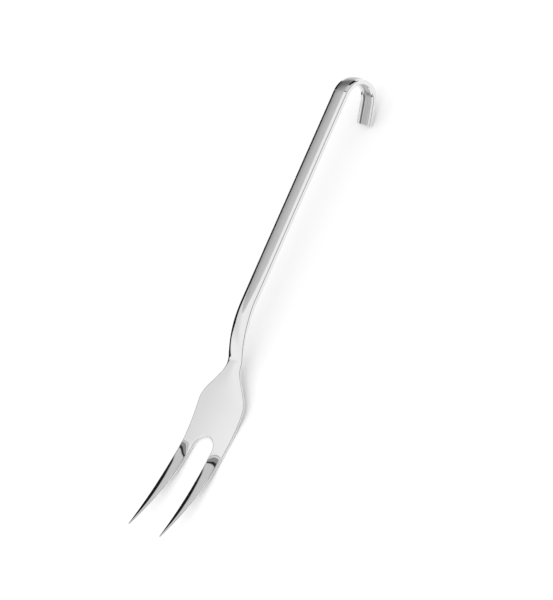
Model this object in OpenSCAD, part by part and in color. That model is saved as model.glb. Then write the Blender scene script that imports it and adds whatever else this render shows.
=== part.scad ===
// Two-tined serving fork with a hanging hook, pressed and bent from one strip of stainless steel.
// It lies front up on the back of its palm and the end of its hook, with the tine points toward +X.

/* [Handle] */
// Length of the straight handle, from the hook to the neck
handle_len = 162; // [120:1:220]
// Width of the handle
handle_w = 13.4; // [12:0.1:18]
// Overall depth of the handle, from its crowned front to its rims
handle_t = 4.1; // [3.6:0.1:4.8]
// How far the crown of the front stands above its long edges
handle_crown = 0.7; // [0.3:0.1:1]
// Width of each rim beside the hollow in the back
rim_w = 2.4; // [1.8:0.1:3]
// Depth of the hollow in the back
hollow_depth = 1.5; // [0.6:0.1:1.7]

/* [Hook] */
// Inside radius of the hook, which closes round a rail or a peg
hook_r = 13.6; // [9:0.1:20]
// Angle that the hook bends through
hook_turn = 160; // [120:1:178]
// Straight end past the bend
hook_end = 16; // [6:0.5:24]

/* [Neck] */
// Angle by which the neck dips behind the handle
dip_turn = 31; // [20:1:38]
// Radius of the long bend that starts the dip
dip_r = 82; // [50:1:120]
// Angle by which the neck turns back into the palm
neck_turn = 23; // [14:0.5:30]
// Radius of that short bend
neck_r = 12; // [8:0.5:30]
// Width of the neck
neck_w = 14.6; // [12:0.1:20]

/* [Palm] */
// Thickness of the steel in the palm
sheet_t = 2.5; // [1.8:0.1:3]
// Straight stretch of the palm below the neck
palm_len = 32; // [24:0.5:46]
// Greatest width of the palm
palm_w = 46.2; // [34:0.2:60]
// Length over which the shoulders flare from the neck to the palm
flare_len = 31; // [24:0.5:44]
// Width of the palm where the tines begin
root_w = 43.2; // [32:0.2:58]
// Angle of the belly, where the palm curves forward
belly_turn = 18.4; // [10:0.2:26]
// Radius of the belly
belly_r = 129; // [90:1:180]

/* [Tines] */
// Length of the tines past the belly, along their curve
tine_len = 64; // [50:0.5:90]
// Radius of the forward curve of the tines
tine_r = 270; // [180:5:500]
// Width of the slot at its round root
slot_w = 19.4; // [12:0.2:26]
// Length of the slot, along its curve
slot_len = 82.5; // [60:0.5:90]
// Distance between the two points
point_gap = 33.2; // [24:0.2:40]
// Width of each point
point_w = 1; // [0.8:0.1:2]
// Thickness of each point
point_t = 1.1; // [0.8:0.1:2]
// Crown of the front of each tine
tine_crown = 0.5; // [0.2:0.1:0.8]

/* [Hidden] */

// Radius that rounds the long edges, and the slope of the hollow's sides
edge_r = 0.8;
hollow_slope = 1.1;
// Powers of the curves by which the tines close in to their points, outside and inside
outer_power = 1.6;
inner_power = 1.3;
// Power of the curve by which the tines grow thinner toward their points
taper_power = 1.7;
// Steel colour
steel = [0.80, 0.81, 0.82];
// Steps of the round hook and of the lofted stretches
$fn = 96;
dip_steps = 16;
neck_steps = 6;
flare_steps = 20;
belly_steps = 12;
root_steps = 10;
tine_steps = 30;
// Stretch over which the loft and the straight handle run together
lap = 2;

// Stretches of the front of the strip from the end of the handle to the points: [length, turn]
degrees = 180 / PI;
stretches = [
    [dip_r * dip_turn / degrees, -dip_turn],
    [neck_r * neck_turn / degrees, neck_turn],
    [palm_len, 0],
    [belly_r * belly_turn / degrees, belly_turn],
    [tine_len, tine_len / tine_r * degrees]
];
dip_end = stretches[0][0];
neck_end = dip_end + stretches[1][0];
palm_end = neck_end + palm_len;
belly_end = palm_end + stretches[3][0];
total_len = belly_end + tine_len;
flare_end = neck_end + flare_len;
slot_top = total_len - slot_len;
point_half = (point_gap + point_w) / 2;

// Axis of the hook in the side view, and the radius of its outer face
hook_centre = [-handle_len, -handle_t - hook_r];
hook_outer = hook_r + handle_t;

// A place on the front of the strip is [x, z, slope]
function advance(at, length, stretch) =
    let (turn = stretch[1] * length / stretch[0], a = at[2], r = stretch[0] / stretch[1] * degrees)
    stretch[1] == 0
        ? [at[0] + length * cos(a), at[1] + length * sin(a), a]
        : [at[0] + r * (sin(a + turn) - sin(a)), at[1] + r * (cos(a) - cos(a + turn)), a + turn];

function along(length, at = [0, 0, 0], i = 0) =
    length <= 0 ? [at[0] + length, at[1], at[2]]
        : length <= stretches[i][0] || i == len(stretches) - 1
        ? advance(at, length, stretches[i])
        : along(length - stretches[i][0], advance(at, stretches[i][0], stretches[i]), i + 1);

// Smooth step from 0 to 1 between two lengths
function ease(length, from, to) =
    let (t = min(1, max(0, (length - from) / (to - from)))) t * t * (3 - 2 * t);

// Share of the way from one length to another, held between 0 and 1
function share(length, from, to) = min(1, max(0, (length - from) / (to - from)));

// Half the width of the strip, and half the width of the slot, at a length
function outer_half(length) =
    let (neck = handle_w / 2 + (neck_w - handle_w) / 2 * ease(length, 0, dip_end / 2))
    let (palm = neck + (palm_w / 2 - neck) * ease(length, neck_end, flare_end))
    let (root = palm + (root_w - palm_w) / 2 * ease(length, flare_end, belly_end))
    root + (point_half - root_w / 2) * pow(share(length, belly_end, total_len), outer_power);

function inner_half(length) =
    let (r = slot_w / 2, d = length - slot_top, widening = (point_gap - point_w) / 2 - r)
    d <= 0 ? 0
    : d < r ? sqrt(r * r - (r - d) * (r - d))
    : r + widening * pow(share(length, slot_top + r, total_len), inner_power);

// Thickness of the strip at a length
function depth(length) =
    let (palm = handle_t + (sheet_t - handle_t) * ease(length, 0, dip_end))
    palm + (point_t - sheet_t) * pow(share(length, slot_top, total_len), taper_power);

// Half of the cross-section, from the middle of the front round the long edge to the middle of the back.
// near and far are its inner and outer edges, t its thickness, crown and dip_in how far the front falls
// toward the outer and inner edges, and hollow the depth of the recess in its back.
function half_section(near, far, t, crown, dip_in, hollow) =
    let (w = far - near, r = min(edge_r, t / 3, w / 5))
    let (drop = function (v) -crown * v * v - dip_in * (1 - v) * (1 - v))
    let (rim = min(rim_w, w / 3), side = (far - near - r) / w)
    concat(
        [for (v = [0, 0.25, 0.5, 0.75, 1]) [near + w * side * v, drop(side * v)]],
        [[far - r * 0.3, drop(1) - r * 0.3], [far, drop(1) - r]],
        [[far, r - t], [far - r * 0.3, r * 0.3 - t], [far - r, -t]],
        [[far - rim, -t], [far - rim - min(hollow_slope, w / 4), hollow - t], [near, hollow - t]]
    );

function mirrored(points) = [for (i = [len(points) - 1:-1:0]) [-points[i][0], points[i][1]]];

// The whole cross-section of the handle
handle_half = half_section(0, handle_w / 2, handle_t, handle_crown, 0, hollow_depth);
// The mirrored half closes the outline, and its two middle points are already in the first half
handle_outline = concat(handle_half, [for (p = mirrored(handle_half)) if (p[0] < 0) p]);

// Lengths at which the loft has a section; the first one laps the end of the straight handle
lofts = concat(
    [-lap],
    [for (i = [0:dip_steps - 1]) dip_end * i / dip_steps],
    [for (i = [0:neck_steps - 1]) dip_end + (neck_end - dip_end) * i / neck_steps],
    [for (i = [0:flare_steps - 1]) neck_end + (flare_end - neck_end) * i / flare_steps],
    [for (i = [0:belly_steps - 1]) flare_end + (slot_top - flare_end) * i / belly_steps],
    [for (i = [0:root_steps - 1]) slot_top + slot_w / 2 * (1 - cos(90 * i / root_steps))],
    [for (i = [0:tine_steps]) slot_top + slot_w / 2 + (slot_len - slot_w / 2) * i / tine_steps]
);

// One half of the head at a length, set square to the curve of the front; side is 1 or -1
function placed_half(length, side) =
    let (at = along(length), near = inner_half(length), far = outer_half(length))
    let (flat = ease(length, 0, dip_end), split = ease(length, slot_top, slot_top + slot_w))
    let (crown = handle_crown + (tine_crown - handle_crown) * flat)
    let (thin = depth(length) / sheet_t)
    let (half = half_section(near, far, depth(length), crown * min(1, thin),
                             tine_crown * split * min(1, thin), hollow_depth * (1 - flat)))
    [for (p = half) [at[0] - p[1] * sin(at[2]), side * p[0], at[1] + p[1] * cos(at[2])]];

// A closed skin over rows of half sections, with the left and right halves joined along the middle as far as
// split_row. Past that row each half is closed by its own wall along the slot.
module skin(left, right, split_row) {
    rows = len(left);
    ring = len(left[0]);
    last = ring - 1;
    // Both halves share the points along the middle, as far as the split
    spot = function (mirror, i, j)
        i * ring + j + (mirror && (i > split_row || j % last != 0) ? rows * ring : 0);
    facing = function (mirror, a, b, c) mirror ? [c, b, a] : [a, b, c];
    sides = [for (mirror = [false, true], i = [0:rows - 2], j = [0:last - 1])
        let (a = spot(mirror, i, j), b = spot(mirror, i, j + 1))
        let (c = spot(mirror, i + 1, j + 1), d = spot(mirror, i + 1, j))
        each [facing(mirror, a, b, c), facing(mirror, a, c, d)]];
    walls = [for (mirror = [false, true], i = [split_row:1:rows - 2])
        let (a = spot(mirror, i, 0), b = spot(mirror, i + 1, 0))
        let (c = spot(mirror, i + 1, last), d = spot(mirror, i, last))
        each [facing(mirror, a, b, c), facing(mirror, a, c, d)]];
    // Flat ends: the top points are paired with the bottom points below them
    ends = [for (mirror = [false, true], i = [0, rows - 1], j = [0:last / 2 - 1])
        let (a = spot(mirror, i, j), b = spot(mirror, i, j + 1))
        let (c = spot(mirror, i, last - j - 1), d = spot(mirror, i, last - j), back = (i == 0) == mirror)
        each b == c ? [facing(back, b, a, d)] : [facing(back, b, a, d), facing(back, b, d, c)]];
    polyhedron(points = [for (row = concat(left, right)) each row], faces = concat(sides, walls, ends),
               convexity = 6);
}

// Neck, palm and tines
module head() {
    split_row = len([for (l = lofts) if (l < slot_top - 0.001) l]);
    skin([for (l = lofts) placed_half(l, 1)], [for (l = lofts) placed_half(l, -1)], split_row);
}

// The straight handle
module handle() {
    translate([-handle_len, 0, 0])
        rotate([90, 0, 90])
            linear_extrude(handle_len)
                polygon(handle_outline);
}

// The hook's bend: the handle's section turned about an axis across the handle
module hook_bend() {
    translate([hook_centre[0], 0, hook_centre[1]])
        rotate([0, -90, 0])
            rotate([90, 0, 0])
                rotate_extrude(angle = hook_turn)
                    translate([hook_outer, 0])
                        rotate(-90)
                            polygon(handle_outline);
}

// One half of the handle's section at a distance past the bend
function end_half(distance, side) =
    let (out = [-sin(hook_turn), cos(hook_turn)], on = [-cos(hook_turn), -sin(hook_turn)])
    [for (p = handle_half)
        let (q = hook_centre + (hook_outer + p[1]) * out + distance * on) [q[0], side * p[0], q[1]]];

// The hook's straight end
module hook_tip() {
    skin([for (d = [hook_end, 0]) end_half(d, 1)], [for (d = [hook_end, 0]) end_half(d, -1)], 2);
}

// Points of the side view that can touch a table, in the handle's own frame
hook_low = concat(
    [for (a = [90:1:hook_turn]) hook_centre + hook_outer * [-sin(a), cos(a)]],
    [hook_centre + hook_outer * [-sin(hook_turn), cos(hook_turn)] - hook_end * [cos(hook_turn), sin(hook_turn)]]
);
head_low = [for (l = lofts) let (at = along(l), t = depth(l)) [at[0] + t * sin(at[2]), at[1] - t * cos(at[2])]];

// Lowest of a list of points below a line of the given slope
function lowest(points, slope) =
    let (falls = [for (p = points) p[1] - slope * p[0]])
    points[search(min(falls), falls)[0]];
function rest_slope(slope = 0, rounds = 6) =
    let (a = lowest(hook_low, slope), b = lowest(head_low, slope))
    rounds == 0 ? slope : rest_slope((b[1] - a[1]) / (b[0] - a[0]), rounds - 1);

slope = rest_slope();
tilt = atan(slope);
function turned(p) = [p[0] * cos(tilt) + p[1] * sin(tilt), p[1] * cos(tilt) - p[0] * sin(tilt)];
lift = -turned(lowest(head_low, slope))[1];
point_at = along(total_len);
point_x = max(turned([point_at[0], point_at[1]])[0], turned(head_low[len(head_low) - 1])[0]);
crest_x = turned(hook_centre)[0] - hook_outer;
mid_x = (point_x + crest_x) / 2;

// The fork: one piece of steel, laid on its two resting places
module fork_body() {
    color(steel)
        translate([-mid_x, 0, lift])
            rotate([0, tilt, 0]) {
                head();
                handle();
                hook_bend();
                hook_tip();
            }
}

fork_body();
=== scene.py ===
import math
import bpy
import bmesh
import numpy as np
from mathutils import Matrix, Vector


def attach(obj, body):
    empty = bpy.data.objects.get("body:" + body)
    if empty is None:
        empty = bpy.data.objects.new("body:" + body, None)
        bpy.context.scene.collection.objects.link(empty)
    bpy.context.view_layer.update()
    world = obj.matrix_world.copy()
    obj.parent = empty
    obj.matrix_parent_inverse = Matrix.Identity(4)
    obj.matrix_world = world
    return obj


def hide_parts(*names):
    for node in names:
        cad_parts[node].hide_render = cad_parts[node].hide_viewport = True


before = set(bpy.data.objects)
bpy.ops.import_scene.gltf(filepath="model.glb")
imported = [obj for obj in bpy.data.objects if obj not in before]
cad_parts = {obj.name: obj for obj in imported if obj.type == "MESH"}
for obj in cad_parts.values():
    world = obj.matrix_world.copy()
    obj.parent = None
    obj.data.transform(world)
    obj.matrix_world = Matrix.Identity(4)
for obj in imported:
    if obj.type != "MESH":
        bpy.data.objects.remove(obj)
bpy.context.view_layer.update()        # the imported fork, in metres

mm = 0.001
print("frame loaded")

# sizes in millimetres, in the handle's own frame: +X to the points, +Z out of the front, x = 0 at the neck
fork = {
    "handleLength": 162, "handleWidth": 13.4, "handleDepth": 4.1, "handleCrown": 0.7,
    "rimWidth": 2.4, "hollowDepth": 1.5, "hollowSlope": 1.1,
    "hookRadius": 13.6, "hookTurn": 160, "hookEnd": 16,
    "dipTurn": 31, "dipRadius": 82, "neckTurn": 23, "neckRadius": 12, "neckWidth": 14.6,
    "sheet": 2.5, "palmLength": 32, "palmWidth": 46.2, "flareLength": 31, "rootWidth": 43.2,
    "bellyTurn": 18.4, "bellyRadius": 129, "tineLength": 64, "tineRadius": 270,
    "slotWidth": 19.4, "slotLength": 82.5, "pointGap": 33.2, "pointWidth": 1.0, "pointThickness": 1.1,
    "tineCrown": 0.5, "outerPower": 1.6, "innerPower": 1.3, "taperPower": 1.7,
    "edgeRadius": 0.8,         # rounding of the long edges
    "edgeShare": 0.42,         # most of the thickness or width that a rounding may take
    "cutRadius": 0.4,          # rounding of the cut end of the hook and of the points
    "cutRows": 7,              # rows in that rounding
    "wallShares": (0.12, 0.88),    # rows of points on the edge's wall, as shares of its height
    "acrossPoints": 30,        # points over each half of the front, and as many over the back
    "rowSpacing": 1.0,         # rows along the strip
    "bendSpacing": 0.35,       # rows in the short bend of the neck
    "rootRows": 48,            # rows round the slot's root
    "satinHalf": 0.64,         # share of the handle's width that is brushed
    "satinAndPaintedGreyFrom": -203,         # the brushed field, with its darker grey, fades in over the hook's crest as painted grey reflection and ends in a rounded tongue at the neck
    "satinFade": 14, "tongueFrom": -34, "tongueEnd": 12, "satinEdge": 0.45,
}


def smooth(value, start, end):
    # smooth step from 0 at start to 1 at end
    t = np.clip((value - start) / (end - start), 0, 1)
    return t * t * (3 - 2 * t)


def stretchesOf(f):
    # length and turn in radians of each stretch of the front, from the end of the handle to the points
    dip, neck, belly = (math.radians(f[k]) for k in ("dipTurn", "neckTurn", "bellyTurn"))
    return [
        (f["dipRadius"] * dip, -dip),
        (f["neckRadius"] * neck, neck),
        (f["palmLength"], 0.0),
        (f["bellyRadius"] * belly, belly),
        (f["tineLength"], f["tineLength"] / f["tineRadius"]),
    ]


def pathOf(f, length):
    # Side view of the front: a straight handle with the hook's arc before it, and after it circular arcs of
    # length L and turn T, x += r (sin(a + T) - sin a) and z += r (cos a - cos(a + T)) with r = L / T.
    outer = f["hookRadius"] + f["handleDepth"]
    past = np.maximum(-length - f["handleLength"], 0)
    turn = np.minimum(past / outer, math.radians(f["hookTurn"]))
    rest = past - outer * turn
    x = np.minimum(length, 0) + past - outer * np.sin(turn) - rest * np.cos(turn)
    z = outer * (np.cos(turn) - 1) - rest * np.sin(turn)
    slope = turn.copy()
    left = np.maximum(length, 0)
    for stretch, bend in stretchesOf(f):
        here = np.minimum(left, stretch)
        after = slope + bend * here / stretch
        if bend == 0:
            x = x + here * np.cos(slope)
            z = z + here * np.sin(slope)
        else:
            radius = stretch / bend
            x = x + radius * (np.sin(after) - np.sin(slope))
            z = z + radius * (np.cos(slope) - np.cos(after))
        slope = after
        left = left - here
    return x, z, slope


def endsOf(f):
    # where each stretch ends, measured along the front
    dipEnd, neckEnd, _, bellyEnd, total = np.cumsum([s[0] for s in stretchesOf(f)])
    hookArc = (f["hookRadius"] + f["handleDepth"]) * math.radians(f["hookTurn"])
    return {
        "dip": dipEnd, "neck": neckEnd, "flare": neckEnd + f["flareLength"], "belly": bellyEnd,
        "total": total, "slot": total - f["slotLength"],
        "hook": -f["handleLength"] - hookArc - f["hookEnd"],
    }


def sectionOf(f, length):
    # half widths, thickness and relief of the strip at each length, by smooth steps and by powers of the share
    # of the way; the root of the slot is a circle, and "soft" is a line in the slot that opens smoothly
    at = endsOf(f)
    neck = f["handleWidth"] / 2 + (f["neckWidth"] - f["handleWidth"]) / 2 * smooth(length, 0, at["dip"] / 2)
    palm = neck + (f["palmWidth"] / 2 - neck) * smooth(length, at["neck"], at["flare"])
    root = palm + (f["rootWidth"] - f["palmWidth"]) / 2 * smooth(length, at["flare"], at["belly"])
    share = np.clip((length - at["belly"]) / (at["total"] - at["belly"]), 0, 1)
    pointHalf = (f["pointGap"] + f["pointWidth"]) / 2
    far = root + (pointHalf - f["rootWidth"] / 2) * share ** f["outerPower"]
    radius = f["slotWidth"] / 2
    deep = length - at["slot"]
    opening = np.clip((deep - radius) / (f["slotLength"] - radius), 0, 1)
    wide = radius + ((f["pointGap"] - f["pointWidth"]) / 2 - radius) * opening ** f["innerPower"]
    roundRoot = np.sqrt(np.maximum(radius ** 2 - (radius - np.clip(deep, 0, radius)) ** 2, 0))
    near = np.where(deep <= 0, 0, np.where(deep < radius, roundRoot, wide))
    flat = smooth(length, 0, at["dip"])
    body = f["handleDepth"] + (f["sheet"] - f["handleDepth"]) * flat
    taper = np.clip((length - at["slot"]) / f["slotLength"], 0, 1) ** f["taperPower"]
    thick = body + (f["pointThickness"] - f["sheet"]) * taper
    thin = np.minimum(1, thick / f["sheet"])
    split = smooth(length, at["slot"], at["slot"] + f["slotWidth"])
    return {
        "soft": wide * split, "near": near, "far": far, "thick": thick, "flat": flat,
        "crown": (f["handleCrown"] + (f["tineCrown"] - f["handleCrown"]) * flat) * thin,
        "dip": f["tineCrown"] * split * thin, "hollow": f["hollowDepth"] * (1 - flat),
    }


def roundOff(distance, radius):
    # how far a quarter circle falls at a distance from the edge
    inside = np.clip(radius - distance, 0, radius)
    return radius - np.sqrt(np.maximum(radius ** 2 - inside ** 2, 0))


def rowLengths(f):
    # rows along the strip, closer where it is cut, where the neck bends and round the slot's root
    at = endsOf(f)
    cut = f["cutRadius"] * (1 - np.cos(np.linspace(0, math.pi / 2, f["cutRows"])))
    radius = f["slotWidth"] / 2
    parts = [
        at["hook"] + cut,
        np.arange(at["hook"] + f["cutRadius"] + 0.3, at["dip"] - f["rowSpacing"], f["rowSpacing"]),
        np.arange(at["dip"] - f["bendSpacing"], at["neck"] + 1, f["bendSpacing"]),
        np.arange(at["neck"] + 1.5, at["slot"] - 1.5 * f["edgeRadius"], f["rowSpacing"]),
        at["slot"] - f["edgeRadius"] * (1 - np.sin(np.linspace(0, math.pi / 2, 9)[:-1])),
        at["slot"] + radius * (1 - np.cos(np.linspace(0, math.pi / 2, f["rootRows"]))),
        np.arange(at["slot"] + radius + f["rowSpacing"], at["total"] - 1, f["rowSpacing"]),
        (at["total"] - cut)[::-1],
    ]
    return np.concatenate(parts)


def halfSkin(f, side):
    # Half of the fork as a grid: rows along the path, and in each row the front from the middle or slot out,
    # the edge, the back on the way in, and the wall of the slot. A front point is path + normal * z with
    # z = -crown w^2 - dip (1 - w)^2 - the edge's quarter circle, and w the share of the way from the soft
    # line out to the edge.
    at = endsOf(f)
    length = rowLengths(f)
    s = sectionOf(f, length)
    u = np.linspace(0, 1, f["acrossPoints"])
    v = 0.5 - 0.5 * np.cos(math.pi * u)
    near, far, thick = (s[k][:, None] for k in ("near", "far", "thick"))
    width = far - near
    y = near + width * v
    edge = np.minimum(f["edgeRadius"], f["edgeShare"] * np.minimum(thick, width))
    radius = f["slotWidth"] / 2
    l = length[:, None]
    toSlot = np.where(l < at["slot"] + radius, np.hypot(l - at["slot"] - radius, y) - radius, y - near)
    fall = roundOff(far - y, edge) + roundOff(np.maximum(toSlot, 0), edge)
    soft = s["soft"][:, None]
    over = np.clip((y - soft) / (far - soft), 0, 1)
    front = -s["crown"][:, None] * over ** 2 - s["dip"][:, None] * (1 - over) ** 2 - fall
    hollow = s["hollow"][:, None] * smooth(far - f["rimWidth"] - y, 0, f["hollowSlope"])
    back = -thick + hollow + fall
    rise = np.array(f["wallShares"])
    wallOut = front[:, -1:] + (back[:, -1:] - front[:, -1:]) * rise
    wallIn = back[:, :1] + (front[:, :1] - back[:, :1]) * rise
    ringY = np.hstack([y, np.repeat(far, 2, 1), y[:, ::-1], np.repeat(near, 2, 1)])
    ringZ = np.hstack([front, wallOut, back[:, ::-1], wallIn])
    # the cut ends draw in by a quarter circle, toward the middle of the section
    fromEnd = np.minimum(length - at["hook"], at["total"] - length)[:, None]
    inset = roundOff(fromEnd, f["cutRadius"])
    middleY = np.where(near > 0, (near + far) / 2, 0)
    halfY = far - middleY
    ringY = middleY + (ringY - middleY) * (1 - inset / halfY)
    ringZ = -thick / 2 + (ringZ + thick / 2) * (1 - inset / (thick / 2))
    x, z, slope = pathOf(f, length)
    points = np.stack([
        x[:, None] - ringZ * np.sin(slope)[:, None],
        side * ringY,
        z[:, None] + ringZ * np.cos(slope)[:, None],
    ], axis=2)
    # the brushed field on the handle's front, with soft edges and a rounded tongue at the neck; its darker grey
    # is partly painted reflection, and over the hook's crest it is wholly painted grey reflection
    tongue = np.clip((l - f["tongueFrom"]) / (f["tongueEnd"] - f["tongueFrom"]), 0, 1)
    half = f["satinHalf"] * far * np.sqrt(np.maximum(1 - tongue ** 2, 0))
    fade = smooth(l, f["satinAndPaintedGreyFrom"], f["satinAndPaintedGreyFrom"] + f["satinFade"])
    field = smooth(half - ringY, 0, f["satinEdge"]) * fade
    place = np.arange(ringY.shape[1])
    n = f["acrossPoints"]
    # the satin share sets rougher brushed steel and a darker grey base colour that is partly painted reflection
    satin = field * (place < n)
    # the hollow in the back keeps the drawn surface that the buffing wheel doesn't reach; its mask also carries
    # painted grey streaks of reflection and shade
    inHollow = smooth(far - f["rimWidth"] - ringY, 0, f["hollowSlope"]) * (1 - s["flat"])[:, None]
    # this share sets the rougher drawn surface and the painted grey streaks of reflection and shade in the
    # hollow
    drawnAndPaintedStreaks = inHollow * ((place >= n + 2) & (place < 2 * n + 2))
    along = np.repeat(l, ringY.shape[1], 1)
    return points, satin, along, side * ringY, drawnAndPaintedStreaks


def gridFaces(f, rows, ring, splitRow, first, flip):
    # the faces of a half, from row to row round each ring, with a cap at either end
    i = np.arange(rows - 1)[:, None]
    j = np.arange(ring)[None, :]
    a = i * ring + j
    b = i * ring + (j + 1) % ring
    quads = np.stack(np.broadcast_arrays(a, b, b + ring, a + ring), axis=2)
    n = f["acrossPoints"]
    keep = (j < 2 * n + 1) | (i >= splitRow)    # the slot's wall exists only past the split
    faces = quads[keep]
    caps = []
    k = np.arange(n - 1)
    for row, turned in ((0, True), (rows - 1, False)):
        top = row * ring + k
        low = row * ring + 2 * n + 1 - k
        cap = np.stack([top, low, low - 1, top + 1], axis=1)
        caps.append(cap[:, ::-1] if turned else cap)
    faces = np.vstack([faces] + caps)
    return first + (faces[:, ::-1] if flip else faces)


def restOf(f):
    # tilt and height at which the hook's end and the belly both touch the table
    at = endsOf(f)
    l = np.linspace(at["hook"], at["total"], 4000)
    x, z, slope = pathOf(f, l)
    thick = sectionOf(f, l)["thick"]
    hook = l < -f["handleLength"]
    px = np.where(hook, x, x + thick * np.sin(slope))
    pz = np.where(hook, z, z - thick * np.cos(slope))
    head = l > 0
    tilt = 0.0
    for _ in range(6):
        fall = pz - tilt * px
        a = np.flatnonzero(hook)[np.argmin(fall[hook])]
        b = np.flatnonzero(head)[np.argmin(fall[head])]
        tilt = (pz[b] - pz[a]) / (px[b] - px[a])
    angle = math.atan(tilt)
    lift = -(pz[b] * math.cos(angle) - px[b] * math.sin(angle))
    return angle, lift


def placed(points, angle, lift, middle):
    # from the handle's frame to the table's
    x, y, z = points[..., 0], points[..., 1], points[..., 2]
    return np.stack([
        x * math.cos(angle) + z * math.sin(angle) - middle, y,
        z * math.cos(angle) - x * math.sin(angle) + lift,
    ], axis=-1)


def buildFork(f):
    angle, lift = restOf(f)
    grids = [halfSkin(f, side) for side in (1, -1)]
    rows, ring = grids[0][0].shape[:2]
    at = endsOf(f)
    splitRow = int(np.argmin(np.abs(rowLengths(f) - at["slot"])))
    points = np.vstack([g[0].reshape(-1, 3) for g in grids])
    flat = placed(points, angle, lift, 0)
    middle = (flat[:, 0].min() + flat[:, 0].max()) / 2
    points = placed(points, angle, lift, middle)
    faces = np.vstack([
        gridFaces(f, rows, ring, splitRow, 0, False),
        gridFaces(f, rows, ring, splitRow, rows * ring, True),
    ])
    mesh = bpy.data.meshes.new("fork")
    mesh.from_pydata((points * mm).tolist(), [], faces.tolist())
    for name, part in (("satinAndPaintedGreyShare", 1), ("drawnAndPaintedShadeShare", 4)):
        share = mesh.attributes.new(name, "FLOAT", "POINT")
        share.data.foreach_set("value", np.concatenate([g[part].ravel() for g in grids]).astype(np.float32))
    corners = np.empty(len(mesh.loops), np.int32)
    mesh.loops.foreach_get("vertex_index", corners)
    along = np.concatenate([g[2].ravel() for g in grids])
    across = np.concatenate([g[3].ravel() for g in grids])
    uv = mesh.uv_layers.new(name="strip")   # metres along the strip and across it
    pairs = np.stack([along[corners], across[corners]], axis=1) * mm
    uv.data.foreach_set("uv", pairs.ravel().astype(np.float32))
    work = bmesh.new()
    work.from_mesh(mesh)
    bmesh.ops.remove_doubles(work, verts=work.verts, dist=1e-7)
    loose = [v for v in work.verts if not v.link_faces]
    bmesh.ops.delete(work, geom=loose, context="VERTS")
    bmesh.ops.recalc_face_normals(work, faces=work.faces)
    work.to_mesh(mesh)
    work.free()
    mesh.shade_smooth()
    mesh.update()
    piece = bpy.data.objects.new("fork", mesh)
    bpy.context.scene.collection.objects.link(piece)
    print("fork surface:", len(mesh.polygons), "faces")
    return piece, angle, lift, middle


def linear(code):
    # sRGB hex to linear
    parts = [int(code[i:i + 2], 16) / 255 for i in (0, 2, 4)]
    return [c / 12.92 if c <= 0.04045 else ((c + 0.055) / 1.055) ** 2.4 for c in parts] + [1.0]


def addNode(tree, kind, settings=None, values=None, links=None):
    node = tree.nodes.new(kind)
    for name, value in (settings or {}).items():
        setattr(node, name, value)
    for name, value in (values or {}).items():
        node.inputs[name].default_value = value
    for name, source in (links or {}).items():
        tree.links.new(source, node.inputs[name])
    return node


def newTree(name):
    material = bpy.data.materials.new(name)
    material.use_nodes = True
    tree = material.node_tree
    tree.nodes.clear()
    return material, tree


steel = {
    "colour": "E6E6E7",          # stainless steel after polishing, a shade of grey under white
    # the satin colour is a darker grey, partly painted reflection; the hollow's colour is painted grey for its
    # reflections and shade
    "satinPaintedGreyColour": "CCCCCD", "hollowPaintedStreakColour": "A8A8AA",
    "polishedRoughness": 0.035, "satinRoughness": 0.36, "drawnRoughness": 0.28,
    "brushAcross": 0.35 * mm,    # pitch of the brushed lines, coarser than the real 0.1 mm so that they show
    "brushLength": 9 * mm,
    "hairWidth": 0.5 * mm, "hairLength": 40 * mm,   # fine handling marks along the strip
    "hairDepth": 0.03, "drawnDepth": 1.0,           # as shares of the brushed lines' depth
    "fineBump": 0.12, "fineHeight": 0.03 * mm,      # relief of the brushed lines and marks
    "waveSize": 22 * mm,         # slow waviness that pressing leaves under the polish
    "waveBump": 0.5, "waveHeight": 0.12 * mm,
}


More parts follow.
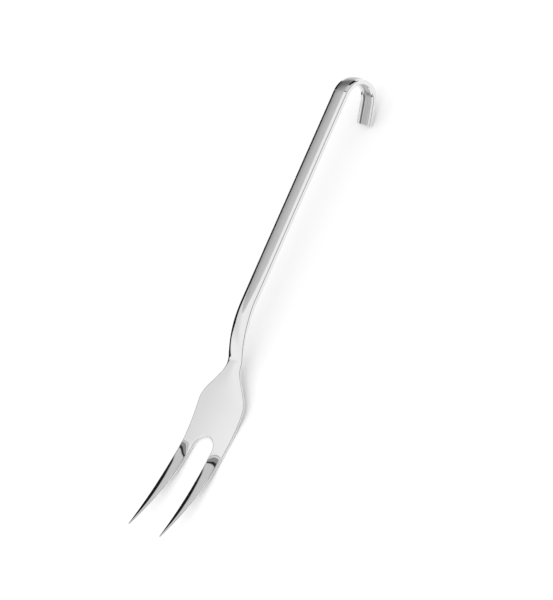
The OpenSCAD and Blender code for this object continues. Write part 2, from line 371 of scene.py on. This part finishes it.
def polishedStainless(s):
    # Pressed and buffed stainless steel: near-mirror with faint lengthwise hairlines and roughness that drifts;
    # the handle's front has a finely cross-brushed satin field that softens what it reflects, in a darker grey
    # that is partly painted reflection and is carried over the hook's crest as painted grey; the hollow in its
    # back keeps the rougher drawn strip, with greyer lengthwise streaks painted in as the hollow's reflections
    # and shade.
    material, tree = newTree("buffed stainless steel with satin field and painted grey")
    strip = addNode(tree, "ShaderNodeUVMap", {"uv_map": "strip"})
    place = addNode(tree, "ShaderNodeTexCoord")
    share = addNode(tree, "ShaderNodeAttribute", {"attribute_name": "satinAndPaintedGreyShare"})
    brush = addNode(tree, "ShaderNodeMapping", None,
                    {"Scale": (1 / s["brushAcross"], 1 / s["brushLength"], 1)}, {"Vector": strip.outputs["UV"]})
    lines = addNode(tree, "ShaderNodeTexNoise", {"noise_dimensions": "2D"},
                    {"Scale": 1.0, "Detail": 3.0, "Roughness": 0.6}, {"Vector": brush.outputs["Vector"]})
    hair = addNode(tree, "ShaderNodeMapping", None,
                   {"Scale": (1 / s["hairLength"], 1 / s["hairWidth"], 1)}, {"Vector": strip.outputs["UV"]})
    hairs = addNode(tree, "ShaderNodeTexNoise", {"noise_dimensions": "2D"},
                    {"Scale": 1.0, "Detail": 4.0, "Roughness": 0.65}, {"Vector": hair.outputs["Vector"]})
    drift = addNode(tree, "ShaderNodeTexNoise", None, {"Scale": 1 / s["waveSize"], "Detail": 2.0},
                    {"Vector": place.outputs["Object"]})
    polished = addNode(tree, "ShaderNodeMapRange", None,
                       {"From Min": 0.3, "From Max": 0.7, "To Min": s["polishedRoughness"] * 0.7,
                        "To Max": s["polishedRoughness"] * 1.5}, {"Value": hairs.outputs["Fac"]})
    satin = addNode(tree, "ShaderNodeMapRange", None,
                    {"From Min": 0.3, "From Max": 0.7, "To Min": s["satinRoughness"] * 0.8,
                     "To Max": s["satinRoughness"] * 1.25}, {"Value": lines.outputs["Fac"]})
    rough = addNode(tree, "ShaderNodeMix", None, None,
                    {"Factor": share.outputs["Fac"], "A": polished.outputs["Result"],
                     "B": satin.outputs["Result"]})
    # the hollow's share: rougher drawn surface, deeper hairlines, and painted grey streaks of reflection and
    # shade
    inside = addNode(tree, "ShaderNodeAttribute", {"attribute_name": "drawnAndPaintedShadeShare"})
    roughAll = addNode(tree, "ShaderNodeMix", None, {"B": s["drawnRoughness"]},
                       {"Factor": inside.outputs["Fac"], "A": rough.outputs["Result"]})
    # the brushed field's darker grey base colour is partly painted reflection
    colours = addNode(tree, "ShaderNodeMix", {"data_type": "RGBA"})
    colours.inputs["A"].default_value = linear(s["colour"])
    colours.inputs["B"].default_value = linear(s["satinPaintedGreyColour"])
    tree.links.new(share.outputs["Fac"], colours.inputs["Factor"])
    # painted reflection and shade: grey lengthwise streaks darken the base colour in the back's hollow
    reflectionStreakLevel = addNode(tree, "ShaderNodeMapRange", None,
                     {"From Min": 0.35, "From Max": 0.65, "To Min": 0.45, "To Max": 1.0},
                     {"Value": hairs.outputs["Fac"]})
    paintedReflectionStreaks = addNode(tree, "ShaderNodeMath", {"operation": "MULTIPLY"}, None,
                       {0: reflectionStreakLevel.outputs["Result"], 1: inside.outputs["Fac"]})
    tone = addNode(tree, "ShaderNodeMix", {"data_type": "RGBA"})
    tone.inputs["B"].default_value = linear(s["hollowPaintedStreakColour"])
    tree.links.new(colours.outputs["Result"], tone.inputs["A"])
    tree.links.new(paintedReflectionStreaks.outputs[0], tone.inputs["Factor"])
    heightSatin = addNode(tree, "ShaderNodeMath", {"operation": "MULTIPLY"}, None,
                          {0: lines.outputs["Fac"], 1: share.outputs["Fac"]})
    hairDepth = addNode(tree, "ShaderNodeMath", {"operation": "MULTIPLY_ADD"}, None,
                        {0: inside.outputs["Fac"]})
    hairDepth.inputs[1].default_value = s["drawnDepth"]
    hairDepth.inputs[2].default_value = s["hairDepth"]
    heightHair = addNode(tree, "ShaderNodeMath", {"operation": "MULTIPLY_ADD"}, None,
                         {0: hairs.outputs["Fac"], 1: hairDepth.outputs[0], 2: heightSatin.outputs[0]})
    fine = addNode(tree, "ShaderNodeBump", None, {"Strength": s["fineBump"], "Distance": s["fineHeight"]},
                   {"Height": heightHair.outputs[0]})
    slow = addNode(tree, "ShaderNodeBump", None, {"Strength": s["waveBump"], "Distance": s["waveHeight"]},
                   {"Height": drift.outputs["Fac"], "Normal": fine.outputs["Normal"]})
    surface = addNode(tree, "ShaderNodeBsdfPrincipled", None, {"Metallic": 1.0},
                      {"Base Color": tone.outputs["Result"], "Roughness": roughAll.outputs["Result"],
                       "Normal": slow.outputs["Normal"]})
    addNode(tree, "ShaderNodeOutputMaterial", None, None, {"Surface": surface.outputs[0]})
    return material


def buildCamera(angle, lift, middle):
    # the photograph looks at the front from the right, from about 45 degrees above, with a long lens
    view = {
        "place": (224.6, 1635.6, 1650.6), "right": (-0.401, 0.683, -0.610), "up": (-0.911, -0.225, 0.346),
        "imageSize": (553, 600), "focalPixels": 3279,
    }
    turn = Matrix.Rotation(angle, 3, "Y")
    right = (turn @ Vector(view["right"])).normalized()
    up = turn @ Vector(view["up"])
    up = (up - right * up.dot(right)).normalized()
    back = right.cross(up)
    place = (turn @ Vector(view["place"]) + Vector((-middle, 0, lift))) * mm
    data = bpy.data.cameras.new("camera")
    data.sensor_fit = "VERTICAL"
    data.sensor_height = 24
    data.lens = view["focalPixels"] * data.sensor_height / view["imageSize"][1]
    data.clip_end = 20
    camera = bpy.data.objects.new("camera", data)
    bpy.context.scene.collection.objects.link(camera)
    axes = Matrix((right, up, back)).transposed()
    camera.matrix_world = Matrix.Translation(place) @ axes.to_4x4()
    bpy.context.scene.camera = camera


room = {
    # Each zone is (low, high, softness) in degrees. Lean is measured from overhead away from the camera,
    # toward -Y, and sweep from overhead toward the points, +X. The light of a zone is a share of the tent's.
    "softLean": (45, 75, 6), "softSweep": (-20, 40, 10), "softLight": 0.84,
    "backLean": (73, 95, 3), "backSweep": (-180, 180, 1), "backLight": 0.30,
    "frontLean": (-95, -40, 8), "frontLight": 0.22,
    "bandLean": (57.5, 66, 0.8), "bandSweep": (-22, 84, 2), "bandLight": 0.01,
    "tineLean": (52, 110, 1.5), "tineSweep": (-95, -24, 1.2), "tineLight": 0.012,
    "greyLean": (5, 60, 4), "greySweep": (-52, -18.5, 1.0), "greyLight": 0.66,
    "lineLean": (2, 59, 4), "lineSweep": (-19.2, -17.2, 0.25), "lineLight": 0.02,
    "stripeSweep": (-17.2, -14.6, 0.25), "stripeLight": 0.30,
    "thinSweep": (-13.9, -13.1, 0.25), "thinLight": 0.45,
    "leanPerSweep": 0.35, "leanKneeLow": -24, "leanKneeHigh": 26,    # the slit bends past these sweeps
    "strength": 1.04, "floorColour": "FBFBFB", "floorSize": 3.0,
    "lampPower": 5.0, "lampSize": 1.6, "lampPlace": (0.25, 0.9, 1.6),
}


def buildWorld(r):
    # A white tent with dark slits and grey cards behind the table, which the polished steel mirrors as lines
    world = bpy.data.worlds.new("white tent")
    bpy.context.scene.world = world
    world.use_nodes = True
    tree = world.node_tree
    tree.nodes.clear()

    def maths(operation, first, second=0.0, third=None):
        node = addNode(tree, "ShaderNodeMath", {"operation": operation})
        for i, value in enumerate((first, second, third)):
            if hasattr(value, "links"):
                tree.links.new(value, node.inputs[i])
            elif value is not None:
                node.inputs[i].default_value = value
        return node.outputs[0]

    def window(value, low, high, soft):
        rise = addNode(tree, "ShaderNodeMapRange", {"interpolation_type": "SMOOTHSTEP"},
                       {"From Min": low - soft, "From Max": low + soft}, {"Value": value})
        fall = addNode(tree, "ShaderNodeMapRange", {"interpolation_type": "SMOOTHSTEP"},
                       {"From Min": high + soft, "From Max": high - soft}, {"Value": value})
        return maths("MULTIPLY", rise.outputs[0], fall.outputs[0])

    place = addNode(tree, "ShaderNodeTexCoord")
    split = addNode(tree, "ShaderNodeSeparateXYZ", None, None, {"Vector": place.outputs["Generated"]})
    x, y, z = split.outputs
    degrees = 180 / math.pi
    lean = maths("MULTIPLY", maths("ARCTAN2", maths("MULTIPLY", y, -1.0), z), degrees)
    sweep = maths("MULTIPLY", maths("ARCTAN2", x, z), degrees)
    under = maths("MAXIMUM", maths("SUBTRACT", r["leanKneeLow"], sweep), 0.0)
    over = maths("MAXIMUM", maths("SUBTRACT", sweep, r["leanKneeHigh"]), 0.0)
    leaned = maths("MULTIPLY_ADD", maths("SUBTRACT", under, over), r["leanPerSweep"], lean)
    light = 1.0
    zones = [
        (lean, "softLean", sweep, "softSweep", "softLight"),
        (lean, "backLean", sweep, "backSweep", "backLight"),
        (lean, "frontLean", sweep, "backSweep", "frontLight"),
        (lean, "greyLean", sweep, "greySweep", "greyLight"),
        (lean, "lineLean", sweep, "thinSweep", "thinLight"),
        (lean, "lineLean", sweep, "stripeSweep", "stripeLight"),
        (lean, "lineLean", sweep, "lineSweep", "lineLight"),
        (leaned, "bandLean", sweep, "bandSweep", "bandLight"),
        (leaned, "tineLean", sweep, "tineSweep", "tineLight"),
    ]
    for leanOf, leanKey, sweepOf, sweepKey, level in zones:
        mask = maths("MULTIPLY", window(leanOf, *r[leanKey]), window(sweepOf, *r[sweepKey]))
        keep = maths("SUBTRACT", 1.0, mask)
        light = maths("MULTIPLY_ADD", mask, r[level], maths("MULTIPLY", light, keep))
    # only mirrored rays meet the cards: the table is lit by the plain tent, and the camera sees plain white
    ray = addNode(tree, "ShaderNodeLightPath")
    mirrored = maths("MULTIPLY_ADD", maths("SUBTRACT", light, 1.0), ray.outputs["Is Glossy Ray"], 1.0)
    seen = maths("SUBTRACT", 1.0, ray.outputs["Is Camera Ray"])
    lit = maths("MULTIPLY", maths("MULTIPLY", mirrored, r["strength"]), seen)
    strength = maths("ADD", lit, ray.outputs["Is Camera Ray"])
    sky = addNode(tree, "ShaderNodeBackground", None, {"Color": (1, 1, 1, 1)}, {"Strength": strength})
    addNode(tree, "ShaderNodeOutputWorld", None, None, {"Surface": sky.outputs[0]})


def buildStage(r):
    half = r["floorSize"] / 2
    mesh = bpy.data.meshes.new("table")
    corners = [(-half, -half, 0), (half, -half, 0), (half, half, 0), (-half, half, 0)]
    mesh.from_pydata(corners, [], [(0, 1, 2, 3)])
    table = bpy.data.objects.new("table", mesh)
    bpy.context.scene.collection.objects.link(table)
    material, tree = newTree("matt white table")
    paper = addNode(tree, "ShaderNodeBsdfPrincipled", None, {"Roughness": 0.9, "Specular IOR Level": 0.0})
    paper.inputs["Base Color"].default_value = linear(r["floorColour"])
    addNode(tree, "ShaderNodeOutputMaterial", None, None, {"Surface": paper.outputs[0]})
    mesh.materials.append(material)
    data = bpy.data.lights.new("soft lamp", "AREA")
    data.energy = r["lampPower"]
    data.size = r["lampSize"]
    lamp = bpy.data.objects.new("soft lamp", data)
    bpy.context.scene.collection.objects.link(lamp)
    lamp.location = r["lampPlace"]
    lamp.rotation_euler = (-Vector(r["lampPlace"])).to_track_quat("-Z", "Y").to_euler()
    lamp.visible_glossy = False


piece, angle, lift, middle = buildFork(fork)
piece.data.materials.append(polishedStainless(steel))
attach(piece, "root")
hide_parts("fork_body")
print("fork built, tilt", round(math.degrees(angle), 3), "degrees")

buildCamera(angle, lift, middle)
buildWorld(room)
buildStage(room)
bpy.context.scene.view_settings.view_transform = "Standard"
print("camera, tent and table ready")
